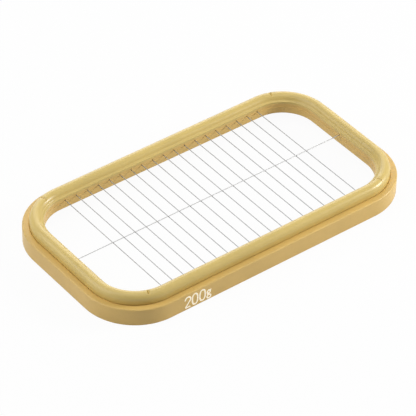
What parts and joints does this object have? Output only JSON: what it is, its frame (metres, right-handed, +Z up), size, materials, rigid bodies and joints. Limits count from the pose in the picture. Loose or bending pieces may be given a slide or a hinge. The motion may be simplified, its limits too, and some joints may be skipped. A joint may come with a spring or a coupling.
{
  "type": "wire butter slicer",
  "caption": "Rounded rectangular plastic frame strung with taut steel wires that cuts a block of butter into equal pieces when pushed through.",
  "frame": {"origin": "centre of the flat rim that the skirt stands on", "axes": "+X along the long side, +Y from the printed front side to the back, +Z up out of the rounded cover ring"},
  "size_m": [0.18, 0.0994, 0.0146],
  "materials": {
    "frame_plastic": "fine satin moulded, butter yellow",
    "cover_plastic": "smooth semi-gloss moulded, butter yellow",
    "wire_steel": "drawn stainless wire",
    "ferrule_steel": "crimped stainless sleeve"
  },
  "bodies": {
    "root": {"base_frame": "frame_plastic", "cover_ring": "cover_plastic", "cross_wire_01": "wire_steel", "cross_wire_02": "wire_steel", "cross_wire_03": "wire_steel", "cross_wire_04": "wire_steel", "cross_wire_05": "wire_steel", "cross_wire_06": "wire_steel", "cross_wire_07": "wire_steel", "cross_wire_08": "wire_steel", "cross_wire_09": "wire_steel", "cross_wire_10": "wire_steel", "cross_wire_11": "wire_steel", "cross_wire_12": "wire_steel", "cross_wire_13": "wire_steel", "cross_wire_14": "wire_steel", "cross_wire_15": "wire_steel", "cross_wire_16": "wire_steel", "cross_wire_17": "wire_steel", "cross_wire_18": "wire_steel", "cross_wire_19": "wire_steel", "centre_wire": "wire_steel", "front_ferrules": "ferrule_steel", "back_ferrules": "ferrule_steel", "end_ferrules": "ferrule_steel"}
  },
  "joints": []
}
